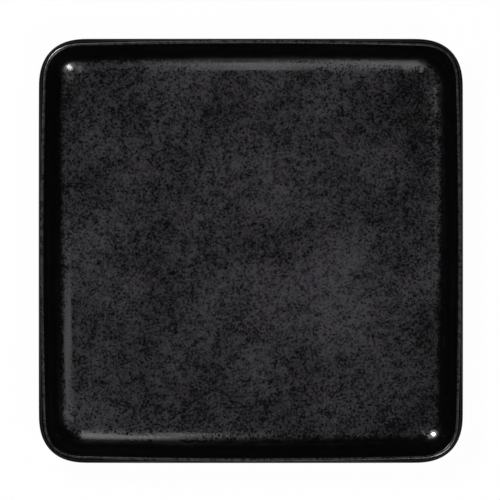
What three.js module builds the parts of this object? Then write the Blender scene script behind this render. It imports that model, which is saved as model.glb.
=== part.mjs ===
// Square stoneware plate: a fired clay body and the glaze coats fused on it, each a solid of its own.
// Millimetres, +Z up. The origin is under the middle of the plate, in the plane of the foot's standing face.
//
// One section is drawn from the axis along the floor of the well, up the wall, over the lip, down the outside
// and back under the foot to the axis. It is swept round a square outline with soft corners, which gives the
// clay. Each coat covers a stretch of that sweep and thins out to nothing at its edges.

import * as THREE from 'three';
import { mergeVertices } from 'three/addons/utils/BufferGeometryUtils.js';

const { degToRad, lerp, smoothstep } = THREE.MathUtils;

// Overall size, over the glaze
const PLATE_WIDTH = 240;
const PLATE_HEIGHT = 22;

// Corners seen from above: the length of side that a corner takes up at the rim, the least that it takes up
// further in, round the floor and the foot ring, and how square it is, where 2 is a round corner
const CORNER_REACH = 28;
const LEAST_CORNER_REACH = 10;
const CORNER_EXPONENT = 2.45;

// Thickness of the coats
const BLACK_COAT = 0.45;
const SPECKLE_COAT = 0.15;

// Clay section of the floor and the wall
const FLOOR_THICKNESS = 4.5;
const INNER_DRAFT = degToRad(12);
const OUTER_DRAFT = degToRad(14);
const HEEL_RADIUS = 17;

// The cove that leads the floor up into the wall: a wide round off the floor, which turns into a tighter one
// at a given slope. The sprayed coat on the floor fades out at the same slope.
const FLOOR_COVE_RADIUS = 29;
const WALL_COVE_RADIUS = 13.5;
const COVE_TURN_SLOPE = degToRad(29);

// Clay section of the lip: a round crest, from which a bevel falls to the outer edge
const LIP_THICKNESS = 3.2;
const LIP_INNER_RADIUS = 1.35;
const LIP_OUTER_RADIUS = 1.45;
const LIP_EDGE_RADIUS = 0.3;
const LIP_BEVEL = degToRad(38);

// Clay section of the foot ring, which stands in from where the heel turns level
const FOOT_HEIGHT = 2;
const FOOT_WIDTH = 4.5;
const FOOT_SETBACK = 4;
const FOOT_FILLET = 1;
const FOOT_EDGE_RADIUS = 0.7;

// The slope of the surface at which the sprayed coat fades out on the inside of the lip
const LIP_SPRAY_SLOPE = degToRad(50);

// Facets in one corner and in each round stretch of the section
const CORNER_STEPS = 8;
const COVE_STEPS = 4;
const LIP_STEPS = 2;
const CREST_STEPS = 3;
const HEEL_STEPS = 6;
const FOOT_STEPS = 2;

// Heights and half-widths of the clay that follow from the sizes above
const QUARTER = Math.PI / 2;
const halfWidth = PLATE_WIDTH / 2;
const floorHeight = FOOT_HEIGHT + FLOOR_THICKNESS;
const crestHeight = PLATE_HEIGHT - SPECKLE_COAT - BLACK_COAT;
const lipOutside = halfWidth - BLACK_COAT;
const lipInside = lipOutside - LIP_THICKNESS;

// A round of the section, by its centre and its radius.
function roundAt(across, height, radius) {
  return { centre: new THREE.Vector2(across, height), radius };
}

// The two sides of the crest, which meet at its top, and the outer edge, as high as the bevel comes down there.
const innerRadius = Math.min(LIP_INNER_RADIUS, LIP_THICKNESS / 2);
const innerLip = roundAt(lipInside + innerRadius, crestHeight - innerRadius, innerRadius);
const outerLip = roundAt(innerLip.centre.x, crestHeight - LIP_OUTER_RADIUS, LIP_OUTER_RADIUS);
const bevelRun = lipOutside - LIP_EDGE_RADIUS - outerLip.centre.x;
const bevelFall = bevelRun * Math.tan(LIP_BEVEL) - (LIP_OUTER_RADIUS - LIP_EDGE_RADIUS) / Math.cos(LIP_BEVEL);
const lipEdge = roundAt(lipOutside - LIP_EDGE_RADIUS, outerLip.centre.y - bevelFall, LIP_EDGE_RADIUS);

// The round that leads the wall under a lip down to a height, where it has come round to a slope. It is no
// larger than the wall is high. `side` is -1 on the inside.
function wallTurn({ centre, radius }, side, draft, turnRadius, endHeight, endSlope) {
  const wallTop = centre.y - side * radius * Math.sin(draft);
  const limited = Math.min(turnRadius, (wallTop - endHeight) / (Math.cos(endSlope) - Math.sin(draft)));
  const height = endHeight + limited * Math.cos(endSlope);
  const wall = centre.x + (side * radius) / Math.cos(draft) - (centre.y - height) * Math.tan(draft);
  return roundAt(wall - limited / Math.cos(draft), height, limited);
}

const coveTurnHeight = floorHeight + FLOOR_COVE_RADIUS * (1 - Math.cos(COVE_TURN_SLOPE));
const wallCove = wallTurn(innerLip, -1, INNER_DRAFT, WALL_COVE_RADIUS, coveTurnHeight, COVE_TURN_SLOPE);
const coveStart = wallCove.centre.x + (wallCove.radius - FLOOR_COVE_RADIUS) * Math.sin(COVE_TURN_SLOPE);
const floorCove = roundAt(coveStart, floorHeight + FLOOR_COVE_RADIUS, FLOOR_COVE_RADIUS);
const heel = wallTurn(lipEdge, 1, OUTER_DRAFT, HEEL_RADIUS, FOOT_HEIGHT, 0);

// The foot ring's edges, which are round, and the fillets that lead into it.
const filletRadius = Math.min(FOOT_FILLET, FOOT_HEIGHT / 2);
const edgeRadius = Math.min(FOOT_EDGE_RADIUS, FOOT_HEIGHT / 2, FOOT_WIDTH / 3);
const footOutside = heel.centre.x - FOOT_SETBACK - filletRadius;
const footInside = footOutside - FOOT_WIDTH;
const outerFillet = roundAt(footOutside + filletRadius, FOOT_HEIGHT - filletRadius, filletRadius);
const outerEdge = roundAt(footOutside - edgeRadius, edgeRadius, edgeRadius);
const innerEdge = roundAt(footInside + edgeRadius, edgeRadius, edgeRadius);
const innerFillet = roundAt(footInside - filletRadius, FOOT_HEIGHT - filletRadius, filletRadius);

// A round stretch of the section, as points with the direction out of the clay. The section runs with the
// clay on its right, so an arc with a rising angle is hollow and one with a falling angle is bulging.
function arc({ centre, radius }, from, to, steps) {
  return Array.from({ length: steps + 1 }, (_, i) => {
    const angle = lerp(from, to, i / steps);
    const ray = new THREE.Vector2(Math.cos(angle), Math.sin(angle));
    return { at: centre.clone().addScaledVector(ray, radius), out: ray.multiplyScalar(Math.sign(from - to)) };
  });
}

// The round stretches in order. Straight runs join them: the walls, the bevel, the underside and the standing
// face. Where two stretches share a point, one of them leaves it out.
const coveTurn = COVE_TURN_SLOPE - QUARTER;
const crestStart = QUARTER + LIP_SPRAY_SLOPE;
const crestEnd = QUARTER - LIP_BEVEL;
const stretches = {
  lowCove: arc(floorCove, -QUARTER, coveTurn, COVE_STEPS),
  highCove: arc(wallCove, coveTurn, -INNER_DRAFT, COVE_STEPS).slice(1),
  innerLip: arc(innerLip, 2 * QUARTER - INNER_DRAFT, crestStart, LIP_STEPS).slice(0, -1),
  innerCrest: arc(innerLip, crestStart, QUARTER, CREST_STEPS),
  outerCrest: arc(outerLip, QUARTER, crestEnd, CREST_STEPS).slice(1),
  lipEdge: arc(lipEdge, crestEnd, 0, LIP_STEPS),
  outsideTop: arc(lipEdge, 0, -OUTER_DRAFT, LIP_STEPS).slice(1),
  heel: arc(heel, -OUTER_DRAFT, -QUARTER, HEEL_STEPS),
  outerFillet: arc(outerFillet, QUARTER, 2 * QUARTER, FOOT_STEPS),
  outerEdge: arc(outerEdge, 0, -QUARTER, FOOT_STEPS),
  innerEdge: arc(innerEdge, -QUARTER, -2 * QUARTER, FOOT_STEPS),
  innerFillet: arc(innerFillet, 0, QUARTER, FOOT_STEPS),
};

// The whole section from axis to axis, and where in it each stretch starts and ends.
const section = [{ at: new THREE.Vector2(0, floorHeight), out: new THREE.Vector2(0, 1) }];
const span = {};
for (const [name, points] of Object.entries(stretches)) {
  span[name] = { first: section.length, last: section.length + points.length - 1 };
  section.push(...points);
}
section.push({ at: new THREE.Vector2(0, FOOT_HEIGHT), out: new THREE.Vector2(0, -1) });

// Thickness of each coat at a point of the section. The black glaze is wiped off the foot ring, and the spray
// settles on the floor and the crest but not on the steep wall.
function blackThickness(i) {
  const outside = 1 - smoothstep(i, span.outerFillet.first, span.outerFillet.last);
  const underside = smoothstep(i, span.innerFillet.first, span.innerFillet.last);
  return BLACK_COAT * (outside + underside);
}

function sprayThickness(i) {
  const well = 1 - smoothstep(i, span.lowCove.first, span.lowCove.last);
  const innerRim = smoothstep(i, span.innerCrest.first, span.innerCrest.last);
  const outerRim = smoothstep(i, span.innerCrest.last, span.lipEdge.first);
  return SPECKLE_COAT * (well + innerRim - outerRim);
}

// The section as bare clay, with the black glaze, and with the spray on top of that.
function surface(thickness) {
  return section.map(({ at, out }, i) => at.clone().addScaledVector(out, thickness(i)));
}

const claySurface = surface(() => 0);
const blackSurface = surface(blackThickness);
const spraySurface = surface((i) => blackThickness(i) + sprayThickness(i));

// The square outline of one point of a section: four corners, joined by straight sides. Outlines inside the
// rim run parallel to it until their corners are as tight as they get. On the axis the outline is one point.
function outline({ x: reachOut, y: height }) {
  const parallel = CORNER_REACH - (halfWidth - reachOut);
  const reach = Math.min(Math.max(parallel, LEAST_CORNER_REACH), reachOut);
  const cornerCentre = reachOut - reach;
  const corner = Array.from({ length: CORNER_STEPS + 1 }, (_, step) => {
    const angle = (QUARTER * step) / CORNER_STEPS;
    const along = Math.cos(angle) ** (2 / CORNER_EXPONENT);
    const across = Math.sin(angle) ** (2 / CORNER_EXPONENT);
    return [cornerCentre + reach * along, cornerCentre + reach * across];
  });
  return [
    ...corner.map(([x, y]) => new THREE.Vector3(x, y, height)),
    ...corner.map(([x, y]) => new THREE.Vector3(-y, x, height)),
    ...corner.map(([x, y]) => new THREE.Vector3(-x, -y, height)),
    ...corner.map(([x, y]) => new THREE.Vector3(y, -x, height)),
  ];
}

// Triangles between the neighbouring outlines of a run of section points, facing out of the clay.
function sweep(points) {
  const rings = points.map(outline);
  const triangles = [];
  for (let i = 1; i < rings.length; i++) {
    const [near, far] = [rings[i - 1], rings[i]];
    for (let j = 0; j < near.length; j++) {
      const next = (j + 1) % near.length;
      triangles.push([near[j], far[j], far[next]], [near[j], far[next], near[next]]);
    }
  }
  return triangles.filter(([a, b, c]) => !a.equals(b) && !b.equals(c) && !c.equals(a));
}

// The solid between two surfaces along a stretch of the section.
function coat(under, over, first, last) {
  const top = sweep(over.slice(first, last + 1));
  const bottom = sweep(under.slice(first, last + 1)).map(([a, b, c]) => [a, c, b]);
  return [...top, ...bottom];
}

function piece(name, triangles, color, roughness) {
  const geometry = mergeVertices(new THREE.BufferGeometry().setFromPoints(triangles.flat()));
  geometry.computeVertexNormals();
  const mesh = new THREE.Mesh(geometry, new THREE.MeshStandardMaterial({ color, roughness, metalness: 0 }));
  mesh.name = name;
  return mesh;
}

const start = 0;
const end = section.length - 1;
const rim = { first: span.innerCrest.first, last: span.lipEdge.first };

const plate = new THREE.Group();
plate.add(
  piece('stoneware_body', sweep(claySurface), 0x5c534b, 0.9),
  piece('black_glaze', coat(claySurface, blackSurface, start, span.outerFillet.last), 0x070708, 0.3),
  piece('underside_glaze', coat(claySurface, blackSurface, span.innerFillet.first, end), 0x070708, 0.35),
  piece('well_speckle', coat(blackSurface, spraySurface, start, span.lowCove.last), 0x262527, 0.45),
  piece('rim_speckle', coat(blackSurface, spraySurface, rim.first, rim.last), 0x303030, 0.4),
);

export default plate;
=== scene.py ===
import math

import bmesh
import bpy
import numpy as np
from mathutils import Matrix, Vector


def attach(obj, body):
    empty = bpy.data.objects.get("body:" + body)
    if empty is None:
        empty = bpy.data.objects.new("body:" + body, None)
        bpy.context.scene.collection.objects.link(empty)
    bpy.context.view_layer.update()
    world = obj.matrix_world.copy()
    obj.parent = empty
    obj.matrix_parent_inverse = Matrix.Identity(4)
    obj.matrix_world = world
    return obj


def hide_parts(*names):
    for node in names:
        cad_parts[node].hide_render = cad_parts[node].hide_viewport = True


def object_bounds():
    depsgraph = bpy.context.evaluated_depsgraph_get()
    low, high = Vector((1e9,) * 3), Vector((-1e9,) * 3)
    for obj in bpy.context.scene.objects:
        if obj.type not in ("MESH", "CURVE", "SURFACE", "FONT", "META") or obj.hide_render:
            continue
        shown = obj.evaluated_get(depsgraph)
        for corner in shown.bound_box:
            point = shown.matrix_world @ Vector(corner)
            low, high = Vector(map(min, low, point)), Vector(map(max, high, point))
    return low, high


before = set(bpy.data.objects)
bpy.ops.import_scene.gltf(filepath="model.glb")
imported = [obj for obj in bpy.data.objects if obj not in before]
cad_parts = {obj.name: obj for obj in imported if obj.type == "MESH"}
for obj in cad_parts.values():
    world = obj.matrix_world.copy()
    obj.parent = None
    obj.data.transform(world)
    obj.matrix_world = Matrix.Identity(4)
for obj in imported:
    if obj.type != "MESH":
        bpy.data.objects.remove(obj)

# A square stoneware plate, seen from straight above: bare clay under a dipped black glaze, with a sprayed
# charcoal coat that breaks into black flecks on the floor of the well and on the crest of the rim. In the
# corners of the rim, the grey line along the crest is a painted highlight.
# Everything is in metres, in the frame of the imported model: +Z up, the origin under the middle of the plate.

cad_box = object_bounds()
MM = 0.001
QUARTER = math.pi / 2

# Overall size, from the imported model
PLATE_WIDTH = cad_box[1].x - cad_box[0].x
PLATE_HEIGHT = cad_box[1].z - cad_box[0].z
HALF_WIDTH = PLATE_WIDTH / 2

# Corners seen from above
CORNER_REACH = 28 * MM
LEAST_CORNER_REACH = 10 * MM
CORNER_EXPONENT = 2.45
MOST_CORNER_SHARE = 0.6

# Thickness of the coats
BLACK_COAT = 0.45 * MM
SPECKLE_COAT = 0.15 * MM

# Clay section of the floor, the wall and the foot ring
FLOOR_THICKNESS = 4.5 * MM
INNER_DRAFT = math.radians(12)
OUTER_DRAFT = math.radians(14)
HEEL_RADIUS = 17 * MM
FOOT_HEIGHT = 2 * MM
FOOT_WIDTH = 4.5 * MM
FOOT_SETBACK = 4 * MM
FOOT_FILLET = 1 * MM
FOOT_EDGE_RADIUS = 0.7 * MM

# The cove: a wide round off the floor, which turns into a tighter one up to the wall at a given slope, where
# the sprayed coat ends
FLOOR_COVE_RADIUS = 29 * MM
WALL_COVE_RADIUS = 13.5 * MM
COVE_TURN_SLOPE = math.radians(29)

# Clay section of the lip: a round crest, from which a bevel falls to the outer edge
LIP_THICKNESS = 3.2 * MM
LIP_INNER_RADIUS = 1.35 * MM
LIP_OUTER_RADIUS = 1.45 * MM
LIP_EDGE_RADIUS = 0.3 * MM
LIP_BEVEL = math.radians(38)

# The slope at which the sprayed coat ends on the inside of the lip
LIP_SPRAY_SLOPE = math.radians(50)

# The crest and the wall under it are set back from where the section has them, and stand further out at the
# middle of each side and a little at the tip of each corner, so the bevel is widest between these
SIDE_BOW = 1.4 * MM
CORNER_BOW = 0.7 * MM
CREST_SETBACK = 0.8 * MM

# Where the grey band on the lip shows, counted in from the outer edge: its start and its end at the middle of
# a side and in the corners, and the width over which it fades. At the middle of a side this band is the spray
# on the crest. In the corners it is a painted highlight, a thin line along the inner side of the crest.
BAND_SIDE = (0.8 * MM, 2.8 * MM)
CORNER_HIGHLIGHT_BAND = (2.7 * MM, 3.9 * MM)
BAND_FADE = 0.5 * MM

# Where the spray in the well fades, counted in from the outer edge, and by how much of that width it reaches
# further out at the side at +Y, and less far at -Y
WELL_FADE = (9.1 * MM, 14.2 * MM)
SPRAY_LEAN = 0.23

# Steps of the mesh: round each corner, along each side, and along the stretches of the section
CORNER_STEPS = 24
SIDE_STEPS = 40
FLOOR_STEPS = 16
COVE_STEPS = 18
WALL_STEPS = 5
LIP_STEPS = 6
CREST_STEPS = 8
BEVEL_STEPS = 8
HEEL_STEPS = 16
FOOT_STEPS = 6
UNDERSIDE_STEPS = 12
QUARTERS = 4

# Points of a mesh that are closer than this become one
MERGE_DISTANCE = 1e-7


# The section, drawn from the axis along the floor of the well, up the wall, over the lip, down the outside
# and back under the foot to the axis

floor_height = FOOT_HEIGHT + FLOOR_THICKNESS
crest_height = PLATE_HEIGHT - SPECKLE_COAT - BLACK_COAT
lip_outside = HALF_WIDTH - BLACK_COAT
lip_inside = lip_outside - LIP_THICKNESS


def round_at(across, height, radius):
    return {"centre": np.array([across, height]), "radius": radius}


def wall_turn(lip, side, draft, radius, end_height, end_slope):
    """The round that leads the wall under a lip down to a height, where it has come round to a slope."""
    height = end_height + radius * math.cos(end_slope)
    drop = lip["centre"][1] - height
    wall = lip["centre"][0] + side * lip["radius"] / math.cos(draft) - drop * math.tan(draft)
    return round_at(wall - radius / math.cos(draft), height, radius)


crest_top = lip_inside + LIP_INNER_RADIUS
inner_lip = round_at(crest_top, crest_height - LIP_INNER_RADIUS, LIP_INNER_RADIUS)
outer_lip = round_at(crest_top, crest_height - LIP_OUTER_RADIUS, LIP_OUTER_RADIUS)
bevel_run = lip_outside - LIP_EDGE_RADIUS - crest_top
bevel_fall = bevel_run * math.tan(LIP_BEVEL) - (LIP_OUTER_RADIUS - LIP_EDGE_RADIUS) / math.cos(LIP_BEVEL)
edge_height = crest_height - LIP_OUTER_RADIUS - bevel_fall
lip_edge = round_at(lip_outside - LIP_EDGE_RADIUS, edge_height, LIP_EDGE_RADIUS)
cove_turn_height = floor_height + FLOOR_COVE_RADIUS * (1 - math.cos(COVE_TURN_SLOPE))
wall_cove = wall_turn(inner_lip, -1, INNER_DRAFT, WALL_COVE_RADIUS, cove_turn_height, COVE_TURN_SLOPE)
cove_start = wall_cove["centre"][0] + (WALL_COVE_RADIUS - FLOOR_COVE_RADIUS) * math.sin(COVE_TURN_SLOPE)
floor_cove = round_at(cove_start, floor_height + FLOOR_COVE_RADIUS, FLOOR_COVE_RADIUS)
heel = wall_turn(lip_edge, 1, OUTER_DRAFT, HEEL_RADIUS, FOOT_HEIGHT, 0)

foot_outside = heel["centre"][0] - FOOT_SETBACK - FOOT_FILLET
foot_inside = foot_outside - FOOT_WIDTH
outer_fillet = round_at(foot_outside + FOOT_FILLET, FOOT_HEIGHT - FOOT_FILLET, FOOT_FILLET)
outer_edge = round_at(foot_outside - FOOT_EDGE_RADIUS, FOOT_EDGE_RADIUS, FOOT_EDGE_RADIUS)
inner_edge = round_at(foot_inside + FOOT_EDGE_RADIUS, FOOT_EDGE_RADIUS, FOOT_EDGE_RADIUS)
inner_fillet = round_at(foot_inside - FOOT_FILLET, FOOT_HEIGHT - FOOT_FILLET, FOOT_FILLET)


def arc(turn, start, end, steps):
    """Points of a round stretch with the direction out of the clay. The clay lies on the right of the way."""
    angles = np.linspace(start, end, steps + 1)
    rays = np.column_stack([np.cos(angles), np.sin(angles)])
    return turn["centre"] + turn["radius"] * rays, rays * np.sign(start - end)


def between(first, last, steps):
    """The inner points of a straight run from the end of one stretch to the start of the next."""
    shares = np.linspace(0, 1, steps + 1)[1:-1, None]
    places = first[0][-1] * (1 - shares) + last[0][0] * shares
    return places, np.repeat(first[1][-1:], len(shares), axis=0)


axis_top = (np.array([[0, floor_height]]), np.array([[0, 1.0]]))
axis_under = (np.array([[0, FOOT_HEIGHT]]), np.array([[0, -1.0]]))
cove_turn = COVE_TURN_SLOPE - QUARTER
crest_start = QUARTER + LIP_SPRAY_SLOPE
crest_end = QUARTER - LIP_BEVEL
turns = {
    "low_cove": arc(floor_cove, -QUARTER, cove_turn, COVE_STEPS),
    "high_cove": arc(wall_cove, cove_turn, -INNER_DRAFT, COVE_STEPS),
    "inner_lip": arc(inner_lip, 2 * QUARTER - INNER_DRAFT, crest_start, LIP_STEPS),
    "inner_crest": arc(inner_lip, crest_start, QUARTER, CREST_STEPS),
    "outer_crest": arc(outer_lip, QUARTER, crest_end, CREST_STEPS),
    "lip_edge": arc(lip_edge, crest_end, 0, LIP_STEPS),
    "outside_top": arc(lip_edge, 0, -OUTER_DRAFT, LIP_STEPS),
    "heel": arc(heel, -OUTER_DRAFT, -QUARTER, HEEL_STEPS),
    "outer_fillet": arc(outer_fillet, QUARTER, 2 * QUARTER, FOOT_STEPS),
    "outer_edge": arc(outer_edge, 0, -QUARTER, FOOT_STEPS),
    "inner_edge": arc(inner_edge, -QUARTER, -2 * QUARTER, FOOT_STEPS),
    "inner_fillet": arc(inner_fillet, 0, QUARTER, FOOT_STEPS),
}
# These start at the last point of the stretch before them, which is enough
for name in ("high_cove", "inner_crest", "outer_crest", "outside_top"):
    turns[name] = tuple(part[1:] for part in turns[name])

stretches = {
    "middle": axis_top,
    "floor": between(axis_top, turns["low_cove"], FLOOR_STEPS),
    "low_cove": turns["low_cove"],
    "high_cove": turns["high_cove"],
    "wall": between(turns["high_cove"], turns["inner_lip"], WALL_STEPS),
    "inner_lip": turns["inner_lip"],
    "inner_crest": turns["inner_crest"],
    "outer_crest": turns["outer_crest"],
    "bevel": between(turns["outer_crest"], turns["lip_edge"], BEVEL_STEPS),
    "lip_edge": turns["lip_edge"],
    "outside_top": turns["outside_top"],
    "outside": between(turns["outside_top"], turns["heel"], WALL_STEPS),
    "heel": turns["heel"],
    "setback": between(turns["heel"], turns["outer_fillet"], FOOT_STEPS),
    "outer_fillet": turns["outer_fillet"],
    "outer_edge": turns["outer_edge"],
    "standing": between(turns["outer_edge"], turns["inner_edge"], FOOT_STEPS),
    "inner_edge": turns["inner_edge"],
    "inner_fillet": turns["inner_fillet"],
    "underside": between(turns["inner_fillet"], axis_under, UNDERSIDE_STEPS),
    "axis": axis_under,
}
span = {}
count = 0
for name, (places, _) in stretches.items():
    span[name] = (count, count + len(places) - 1)
    count += len(places)
section_at = np.vstack([places for places, _ in stretches.values()])
section_out = np.vstack([rays for _, rays in stretches.values()])
steps = np.arange(count)


def smooth(share):
    share = np.clip(share, 0, 1)
    return share * share * (3 - 2 * share)


def rise(first, last):
    """0 before the section point `first`, 1 after `last`, smooth between."""
    return smooth((steps - first) / (last - first))


black_thickness = BLACK_COAT * (1 - rise(*span["outer_fillet"]) + rise(*span["inner_fillet"]))
well_cover = 1 - rise(*span["low_cove"])
crest_first, crest_last = span["inner_crest"]
rim_cover = rise(crest_first, (crest_first + crest_last) / 2) - rise(crest_last, span["lip_edge"][0])
spray_thickness = SPECKLE_COAT * (well_cover + rim_cover)
total_thickness = black_thickness + spray_thickness
down_bevel = np.interp(steps, (span["outer_crest"][1], span["lip_edge"][0]), (0, 1))
bow_weight = rise(*span["low_cove"]) - down_bevel
edge_weight = down_bevel - rise(span["outside_top"][1], span["heel"][0])


# The sweep round the square outline: a side and the corner after it, turned four times

side_place = np.linspace(-1, 1, SIDE_STEPS + 1)[:-1]
corner_angle = np.linspace(0, QUARTER, CORNER_STEPS + 1)[:-1]
mid_side = np.concatenate([1 - side_place**2, np.zeros(CORNER_STEPS)])
mid_corner = np.concatenate([np.zeros(SIDE_STEPS), np.sin(2 * corner_angle) ** 2])
bow = SIDE_BOW * mid_side + CORNER_BOW * mid_corner - CREST_SETBACK


def half_widths(thickness):
    """How far the section points stand from the middle of the plate, round one side and one corner."""
    at = section_at[:, 0] + section_out[:, 0] * thickness
    return at[:, None] + bow_weight[:, None] * bow


def heights(thickness):
    """How high the section points stand. The outer edge lies as low as the bevel reaches there."""
    at = section_at[:, 1] + section_out[:, 1] * thickness
    return at[:, None] + math.tan(LIP_BEVEL) * edge_weight[:, None] * bow


def sweep(thickness):
    """The places of the section's points round the plate, by section point, place round and xyz."""
    across = half_widths(thickness)
    parallel = CORNER_REACH - (HALF_WIDTH - across)
    reach = np.minimum(np.maximum(parallel, LEAST_CORNER_REACH), MOST_CORNER_SHARE * across)
    middle = across - reach
    power = 2 / CORNER_EXPONENT
    along = np.concatenate([np.ones(SIDE_STEPS), np.cos(corner_angle) ** power])
    beside = np.concatenate([side_place, np.sin(corner_angle) ** power])
    is_side = np.arange(SIDE_STEPS + CORNER_STEPS) < SIDE_STEPS
    x = middle + reach * along
    y = np.where(is_side, middle * beside, middle + reach * beside)
    sectors = [(x, y), (-y, x), (-x, -y), (y, -x)]
    flat = np.stack([np.hstack([s[0] for s in sectors]), np.hstack([s[1] for s in sectors])], axis=2)
    return np.concatenate([flat, np.tile(heights(thickness), QUARTERS)[:, :, None]], axis=2)


clay_skin = sweep(np.zeros(count))
black_skin = sweep(black_thickness)
spray_skin = sweep(total_thickness)

# How much of the sprayed colour shows, round the plate. On the rim, the same mask also lays down a painted
# highlight line along the crest in the corners.
inset = HALF_WIDTH - half_widths(total_thickness)
band_start, band_end = (
    corner + (side - corner) * mid_side - CORNER_BOW * mid_corner
    for side, corner in zip(BAND_SIDE, CORNER_HIGHLIGHT_BAND)
)
band = smooth(0.5 + (inset - band_start) / BAND_FADE) * smooth(0.5 + (band_end - inset) / BAND_FADE)
rim_spray_and_highlight = np.tile(band, QUARTERS)
fade_start, fade_end = WELL_FADE
past_edge = np.tile((inset - fade_start) / (fade_end - fade_start), QUARTERS)
well_shown = past_edge + SPRAY_LEAN * spray_skin[:, :, 1] / HALF_WIDTH
none_shown = np.zeros(rim_spray_and_highlight.shape)


def skin_faces(rings, around, first_vertex, inward):
    """Quads between the neighbouring rings of a skin."""
    faces = []
    for ring in range(rings - 1):
        for place in range(around):
            near = first_vertex + ring * around
            far = near + around
            after = (place + 1) % around
            quad = (near + place, far + place, far + after, near + after)
            faces.append(quad[::-1] if inward else quad)
    return faces


def build(name, skins, stretch, shown):
    """A closed mesh from an outer skin, and an inner one if it is a coat, along a stretch of the section."""
    first, last = stretch
    rings = last - first + 1
    around = clay_skin.shape[1]
    vertices = np.concatenate([skin[first : last + 1].reshape(-1, 3) for skin in skins])
    faces = []
    for number in range(len(skins)):
        faces += skin_faces(rings, around, number * rings * around, inward=number > 0)
    mesh = bpy.data.meshes.new(name)
    mesh.from_pydata(vertices.tolist(), [], faces)
    attribute = mesh.attributes.new("shown", "FLOAT", "POINT")
    attribute.data.foreach_set("value", np.tile(shown[first : last + 1].ravel(), len(skins)))
    shape = bmesh.new()
    shape.from_mesh(mesh)
    bmesh.ops.remove_doubles(shape, verts=shape.verts, dist=MERGE_DISTANCE)
    bmesh.ops.dissolve_degenerate(shape, edges=shape.edges, dist=MERGE_DISTANCE)
    for face in shape.faces:
        face.smooth = True
    # The ends of a coat, where its outer skin meets its inner one, stay sharp
    for edge in shape.edges:
        edge.smooth = edge.calc_face_angle(0) < QUARTER
    shape.to_mesh(mesh)
    shape.free()
    piece = bpy.data.objects.new(name, mesh)
    bpy.context.scene.collection.objects.link(piece)
    return piece


# Materials

def srgb(red, green, blue):
    """A colour given by its 8-bit values, as the linear colour that a shader takes."""
    def linear(value):
        share = value / 255
        return share / 12.92 if share <= 0.04045 else ((share + 0.055) / 1.055) ** 2.4
    return (linear(red), linear(green), linear(blue), 1)


# Colours. The ground of the spray, where it is thin and where it is heavy, drifts between two hues
GROUND_THIN = (srgb(41.6, 42, 43.7), srgb(44, 41.7, 45.6))
GROUND_HEAVY = (srgb(56.6, 57, 59.1), srgb(59.6, 56.7, 61.5))
FLECK = srgb(10.5, 10, 11)
BLACK = srgb(3.8, 3.8, 4.2)
PORE = srgb(7, 7, 7.5)
# The grey of the rim band: partly the spray's own grey on the crest, and partly a painted highlight, which is
# all of it in the corners
CREST_GREY_AND_HIGHLIGHT = srgb(51, 51, 51)
CLAY = srgb(92, 83, 75)
CLAY_GRIT = srgb(58, 51, 45)

# Patches of the well where the spray is heavy, and so lighter in colour, or thin where the last number is
# below 0: the place from the middle of the plate to the right and up, the reach, and how heavy it is there
PATCHES = (
    (50 * MM, -33 * MM, 55 * MM, 0.28),
    (-25 * MM, -20 * MM, 45 * MM, 0.2),
    (0 * MM, 55 * MM, 50 * MM, 0.08),
    (-51 * MM, 51 * MM, 35 * MM, 0.1),
    (51 * MM, 51 * MM, 40 * MM, 0.1),
    (-15 * MM, -53 * MM, 40 * MM, 0.17),
    (-95 * MM, 28 * MM, 32 * MM, 0.25),
    (-97 * MM, -45 * MM, 35 * MM, 0.2),
    (-95 * MM, 68 * MM, 70 * MM, -0.4),
    (90 * MM, 95 * MM, 55 * MM, -0.3),
    (-48 * MM, 18 * MM, 40 * MM, -0.25),
    (-85 * MM, -17 * MM, 40 * MM, -0.1),
    (82 * MM, -99 * MM, 32 * MM, -0.55),
    (108 * MM, -80 * MM, 38 * MM, -0.4),
    (97 * MM, 32 * MM, 28 * MM, -0.2),
    (100 * MM, -48 * MM, 35 * MM, -0.5),
    (30 * MM, -99 * MM, 45 * MM, -0.4),
    (-31 * MM, 88 * MM, 30 * MM, -0.25),
)


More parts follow.
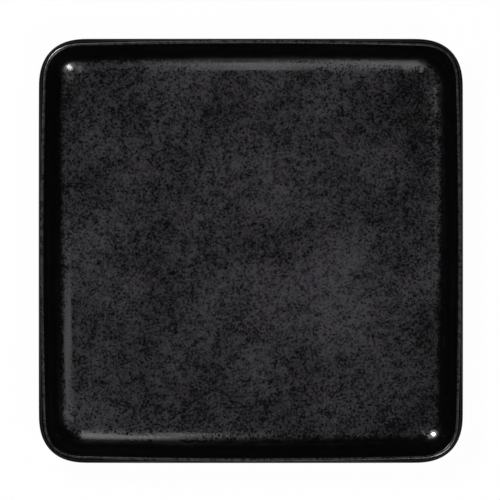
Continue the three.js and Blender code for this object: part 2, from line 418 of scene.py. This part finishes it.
class Look:
    """A material and short calls for the few kinds of node that the looks use."""

    def __init__(self, name):
        self.material = bpy.data.materials.new(name)
        self.material.use_nodes = True
        self.tree = self.material.node_tree
        self.shader = self.tree.nodes["Principled BSDF"]
        self.place = self.tree.nodes.new("ShaderNodeTexCoord").outputs["Object"]

    def put(self, socket, value):
        if isinstance(value, bpy.types.NodeSocket):
            self.tree.links.new(value, socket)
        else:
            socket.default_value = value

    def noise(self, scale, detail=2.0, roughness=0.5):
        node = self.tree.nodes.new("ShaderNodeTexNoise")
        self.put(node.inputs["Vector"], self.place)
        node.inputs["Scale"].default_value = scale
        node.inputs["Detail"].default_value = detail
        node.inputs["Roughness"].default_value = roughness
        return node.outputs["Fac"]

    def dots(self, scale):
        """The distance to the nearest of many scattered points, as a share of their spacing."""
        node = self.tree.nodes.new("ShaderNodeTexVoronoi")
        self.put(node.inputs["Vector"], self.place)
        node.inputs["Scale"].default_value = scale
        return node.outputs["Distance"]

    def patch(self, right, up, reach, weight):
        """A soft round patch that is `weight` at its middle and 0 beyond its reach."""
        node = self.tree.nodes.new("ShaderNodeVectorMath")
        node.operation = "DISTANCE"
        self.put(node.inputs[0], self.place)
        node.inputs[1].default_value = (right, up, floor_height)
        return self.ease(node.outputs["Value"], 0, reach, weight, 0)

    def attribute(self, name):
        node = self.tree.nodes.new("ShaderNodeAttribute")
        node.attribute_name = name
        return node.outputs["Fac"]

    def math(self, operation, first, second):
        node = self.tree.nodes.new("ShaderNodeMath")
        node.operation = operation
        self.put(node.inputs[0], first)
        self.put(node.inputs[1], second)
        return node.outputs[0]

    def weigh_in(self, total, value, weight):
        """`total` with `weight` times `value` added."""
        node = self.math("MULTIPLY_ADD", value, weight).node
        self.put(node.inputs[2], total)
        return node.outputs[0]

    def ease(self, value, low, high, start=0.0, end=1.0):
        node = self.tree.nodes.new("ShaderNodeMapRange")
        node.interpolation_type = "SMOOTHSTEP"
        self.put(node.inputs["Value"], value)
        node.inputs["From Min"].default_value = low
        node.inputs["From Max"].default_value = high
        node.inputs["To Min"].default_value = start
        node.inputs["To Max"].default_value = end
        return node.outputs["Result"]

    def blend(self, share, first, second, clamp=True):
        node = self.tree.nodes.new("ShaderNodeMix")
        node.data_type = "RGBA"
        node.clamp_factor = clamp
        self.put(node.inputs["Factor"], share)
        self.put(node.inputs["A"], first)
        self.put(node.inputs["B"], second)
        return node.outputs["Result"]

    def bump(self, height, distance):
        node = self.tree.nodes.new("ShaderNodeBump")
        node.inputs["Distance"].default_value = distance
        self.put(node.inputs["Height"], height)
        self.put(self.shader.inputs["Normal"], node.outputs["Normal"])


# How fine each pattern in the looks is, as its scale per metre
SPECK_SCALE = 800
DOT_SCALE = 540
DRIFT_SCALE = 170
CLOUD_SCALE = 28
HUE_SCALE = 75
EDGE_SCALE = 200
MOTTLE_SCALE = 520
PORE_SCALE = 160
GRIT_SCALE = 900
CLAY_PATCH_SCALE = 60

# The values between which most of a noise lies
NOISE_RANGE = (0.3, 0.7)

# How much the specks, the dots, their drift and the clouds in the spray each change its cover about the mean,
# and how much of a patch goes into the cover too
SPECK_WEIGHT = 2.9
DOT_WEIGHT = 0.8
DRIFT_WEIGHT = 1.4
CLOUD_WEIGHT = 0.7
PATCH_WEIGHT = 0.5
MEAN_COVER = 0.545

# The most that the cover can be, and the power by which it turns into colour
MOST_COVER = 1.12
COVER_POWER = 1.1

# How much the clouds change the thickness of the spray
CLOUD_DEPTH = 1.7

# How much cover the spray loses across its edge in the cove, how ragged that edge is, as a share of its
# width, and the losses between which the colour turns into the bare black
EDGE_LOSS = 1.15
EDGE_RAGGED = 0.25
BARE_RANGE = (0.2, 0.8)

# How much the glazes mirror, where 0.5 is plain glass
GLAZE_GLOSS = 0.5
RIM_GLOSS = 0.44

# How rough the sprayed coat is, and its flecks, where the glossier black shows, and the cover between the two
SPRAY_ROUGHNESS = 0.165
FLECK_ROUGHNESS = 0.06
FLECK_COVER = (0.2, 0.6)

# How rough the rim is without and with spray, the black glaze outside and below and how far that varies, and
# the clay
RIM_ROUGHNESS = (0.18, 0.22)
BLACK_ROUGHNESS = 0.2
UNDERSIDE_ROUGHNESS = 0.24
ROUGHNESS_SPREAD = 0.03
CLAY_ROUGHNESS = (0.8, 0.95)

# The values between which the rim's mottle, the pores of the black glaze, and the grit and patches of the
# clay come up, and the least of the mottle
MOTTLE_RANGE = (0.3, 0.68)
LEAST_MOTTLE = 0.15
PORE_RANGE = (0.55, 0.75)
GRIT_RANGE = (0.42, 0.62)
CLAY_PATCH_RANGE = (0.3, 0.8)

# How deep the fine relief of each surface is
SPRAY_RELIEF = 0.006 * MM
RIM_RELIEF = 0.02 * MM
BLACK_RELIEF = 0.02 * MM
CLAY_RELIEF = 0.12 * MM


def well_look():
    look = Look("speckled_charcoal_glaze")
    clouds = look.noise(CLOUD_SCALE, detail=1)
    patterns = (
        (look.noise(SPECK_SCALE, detail=1.8, roughness=0.8), SPECK_WEIGHT),
        (look.dots(DOT_SCALE), DOT_WEIGHT),
        (look.noise(DRIFT_SCALE, detail=2, roughness=0.6), DRIFT_WEIGHT),
        (clouds, CLOUD_WEIGHT),
    )
    tone = MEAN_COVER - sum(weight for _, weight in patterns) / 2
    for pattern, weight in patterns:
        tone = look.weigh_in(tone, pattern, weight)
    roughness = look.ease(tone, *FLECK_COVER, FLECK_ROUGHNESS, SPRAY_ROUGHNESS)
    depth = look.weigh_in(0.5 - CLOUD_DEPTH / 2, clouds, CLOUD_DEPTH)
    for patch in PATCHES:
        heavy = look.patch(*patch)
        tone = look.weigh_in(tone, heavy, PATCH_WEIGHT)
        depth = look.math("ADD", depth, heavy)
    edge = look.weigh_in(look.attribute("shown"), look.noise(EDGE_SCALE), EDGE_RAGGED)
    missing = look.math("MAXIMUM", look.math("SUBTRACT", 1 + EDGE_RAGGED / 2, edge), 0)
    tone = look.weigh_in(tone, missing, -EDGE_LOSS)
    cover = look.math("MINIMUM", look.math("MAXIMUM", tone, 0), MOST_COVER)
    share = look.math("POWER", cover, COVER_POWER)
    hue = look.ease(look.noise(HUE_SCALE), *NOISE_RANGE)
    ground = look.blend(depth, look.blend(hue, *GROUND_THIN), look.blend(hue, *GROUND_HEAVY))
    colour = look.blend(share, FLECK, ground, clamp=False)
    bare = look.ease(missing, *BARE_RANGE)
    look.put(look.shader.inputs["Base Color"], look.blend(bare, colour, BLACK))
    look.shader.inputs["Specular IOR Level"].default_value = GLAZE_GLOSS
    look.put(look.shader.inputs["Roughness"], roughness)
    look.bump(share, SPRAY_RELIEF)
    return look.material


def rim_look():
    look = Look("broken_charcoal_glaze_and_painted_highlight")
    pattern = look.noise(MOTTLE_SCALE, detail=2, roughness=0.6)
    mottle = look.ease(pattern, *MOTTLE_RANGE, LEAST_MOTTLE, 1)
    share = look.math("MULTIPLY", look.attribute("shown"), mottle)
    # The grey that the mask brings in is the spray on the crest at the sides, and a painted highlight line in
    # the corners
    look.put(look.shader.inputs["Base Color"], look.blend(share, BLACK, CREST_GREY_AND_HIGHLIGHT))
    look.shader.inputs["Specular IOR Level"].default_value = RIM_GLOSS
    look.put(look.shader.inputs["Roughness"], look.ease(share, 0, 1, *RIM_ROUGHNESS))
    look.bump(share, RIM_RELIEF)
    return look.material


def black_look(name, roughness):
    look = Look(name)
    pores = look.noise(PORE_SCALE, detail=3, roughness=0.6)
    look.put(look.shader.inputs["Base Color"], look.blend(look.ease(pores, *PORE_RANGE), BLACK, PORE))
    look.shader.inputs["Specular IOR Level"].default_value = GLAZE_GLOSS
    least, most = roughness - ROUGHNESS_SPREAD, roughness + ROUGHNESS_SPREAD
    look.put(look.shader.inputs["Roughness"], look.ease(pores, *NOISE_RANGE, least, most))
    look.bump(pores, BLACK_RELIEF)
    return look.material


def clay_look():
    look = Look("bare_stoneware")
    grit = look.noise(GRIT_SCALE, detail=3, roughness=0.7)
    patches = look.noise(CLAY_PATCH_SCALE, detail=2)
    tone = look.blend(look.ease(grit, *GRIT_RANGE), CLAY_GRIT, CLAY)
    look.put(look.shader.inputs["Base Color"], look.blend(look.ease(patches, *CLAY_PATCH_RANGE), tone, CLAY))
    look.put(look.shader.inputs["Roughness"], look.ease(grit, *NOISE_RANGE, *CLAY_ROUGHNESS))
    look.bump(grit, CLAY_RELIEF)
    return look.material


# The five pieces, each in place of the solid of its name

everything = (0, count - 1)
dipped = (0, span["outer_fillet"][1])
underside = (span["inner_fillet"][0], count - 1)
well = (0, span["low_cove"][1])
rim = (span["inner_crest"][0], span["lip_edge"][0])
pieces = {
    "stoneware_body": (build("clay_body", [clay_skin], everything, none_shown), clay_look(), "clay"),
    "black_glaze": (
        build("dipped_black_glaze", [black_skin, clay_skin], dipped, none_shown),
        black_look("satin_black_glaze", BLACK_ROUGHNESS),
        "black_glaze",
    ),
    "underside_glaze": (
        build("underside_black_glaze", [black_skin, clay_skin], underside, none_shown),
        black_look("satin_black_underside", UNDERSIDE_ROUGHNESS),
        "underside_glaze",
    ),
    "well_speckle": (
        build("sprayed_well", [spray_skin, black_skin], well, well_shown),
        well_look(),
        "well_speckle",
    ),
    "rim_speckle": (
        build("sprayed_rim_and_painted_highlight", [spray_skin, black_skin], rim, rim_spray_and_highlight),
        rim_look(),
        "rim_speckle",
    ),
}
for node, (piece, look, slot) in pieces.items():
    piece.data.materials.append(look)
    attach(piece, "root")
    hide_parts(node)


# The stage: a white floor just under the foot, softboxes near both ends of one diagonal in a dark room, and
# the camera above

FLOOR_SIZE = 8.0
FLOOR_GAP = 0.05 * MM
FLOOR_COLOUR = (0.9, 0.9, 0.9, 1)
FLOOR_ROUGHNESS = 0.9
FLOOR_GLOW = 0.97
ROOM_LEVEL = 0.004
CAMERA_HEIGHT = 1.2
SENSOR = 36 * MM
IMAGE_WIDTH = 500
PLATE_PIXELS = 424.3
PLATE_SHIFT_PIXELS = 0.85


def white_floor():
    mesh = bpy.data.meshes.new("floor")
    half = FLOOR_SIZE / 2
    corners = [(x, y, -FLOOR_GAP) for x, y in ((-half, -half), (half, -half), (half, half), (-half, half))]
    mesh.from_pydata(corners, [], [(0, 1, 2, 3)])
    floor = bpy.data.objects.new("floor", mesh)
    bpy.context.scene.collection.objects.link(floor)
    look = Look("white_floor")
    look.shader.inputs["Base Color"].default_value = FLOOR_COLOUR
    look.shader.inputs["Roughness"].default_value = FLOOR_ROUGHNESS
    path = look.tree.nodes.new("ShaderNodeLightPath")
    seen = look.math("MAXIMUM", path.outputs["Is Camera Ray"], path.outputs["Is Glossy Ray"])
    seen = look.math("MAXIMUM", seen, path.outputs["Is Transmission Ray"])
    share = look.math("MULTIPLY", seen, FLOOR_GLOW)
    glow = look.tree.nodes.new("ShaderNodeEmission")
    mixed = look.tree.nodes.new("ShaderNodeMixShader")
    look.put(mixed.inputs["Fac"], share)
    look.put(mixed.inputs[1], look.shader.outputs["BSDF"])
    look.put(mixed.inputs[2], glow.outputs["Emission"])
    look.put(look.tree.nodes["Material Output"].inputs["Surface"], mixed.outputs["Shader"])
    mesh.materials.append(look.material)


def softbox(name, azimuth, zenith, distance, width, height, level):
    """An area lamp that faces the middle of the plate. Azimuth 0 is +X, and 90 is +Y, the top of the picture.
    `level` is how bright it makes a white card that lies in the middle of the plate, where 1 is white."""
    turn, lean = math.radians(azimuth), math.radians(zenith)
    lamp = bpy.data.lights.new(name, "AREA")
    lamp.shape = "RECTANGLE"
    lamp.size = height
    lamp.size_y = width
    lamp.energy = level * (math.pi * distance) ** 2 / math.cos(lean)
    stand = bpy.data.objects.new(name, lamp)
    stand.location = (
        distance * math.sin(lean) * math.cos(turn),
        distance * math.sin(lean) * math.sin(turn),
        distance * math.cos(lean),
    )
    stand.rotation_euler = (0, lean, turn)
    bpy.context.scene.collection.objects.link(stand)


def dark_room():
    world = bpy.data.worlds.new("dark_room")
    world.use_nodes = True
    background = world.node_tree.nodes["Background"]
    background.inputs["Color"].default_value = (1, 1, 1, 1)
    background.inputs["Strength"].default_value = ROOM_LEVEL
    bpy.context.scene.world = world


def camera_above():
    data = bpy.data.cameras.new("camera")
    pixel = PLATE_WIDTH / PLATE_PIXELS
    data.sensor_width = SENSOR / MM
    data.lens = data.sensor_width * CAMERA_HEIGHT / (IMAGE_WIDTH * pixel)
    camera = bpy.data.objects.new("camera", data)
    shift = PLATE_SHIFT_PIXELS * pixel
    camera.location = (-shift, shift, edge_height + CAMERA_HEIGHT)
    bpy.context.scene.collection.objects.link(camera)
    bpy.context.scene.camera = camera


white_floor()
# The near lamps stand to the bottom right of the picture and the far ones to the top left. Their levels
# add up to about 1.
softbox("near_wide", azimuth=-65.1, zenith=34.9, distance=1.15, width=0.87, height=0.37, level=0.031)
softbox("near_side", azimuth=-49.5, zenith=39.5, distance=0.71, width=0.52, height=0.18, level=0.066)
softbox("near_core", azimuth=-53, zenith=38, distance=0.9, width=0.18, height=0.24, level=0.33)
softbox("near_top", azimuth=-89.3, zenith=27, distance=1.3, width=0.104, height=0.4, level=0.0143)
softbox("near_left", azimuth=-10.4, zenith=26.5, distance=1.3, width=0.106, height=0.43, level=0.0099)
softbox("far_strip", azimuth=97.6, zenith=28.8, distance=1.34, width=0.041, height=0.28, level=0.0078)
softbox("far_side", azimuth=128.6, zenith=34.4, distance=0.69, width=0.4, height=0.14, level=0.0885)
softbox("far_core", azimuth=133.1, zenith=38.3, distance=0.9, width=0.165, height=0.16, level=0.49)
dark_room()
camera_above()
bpy.context.scene.view_settings.view_transform = "Standard"
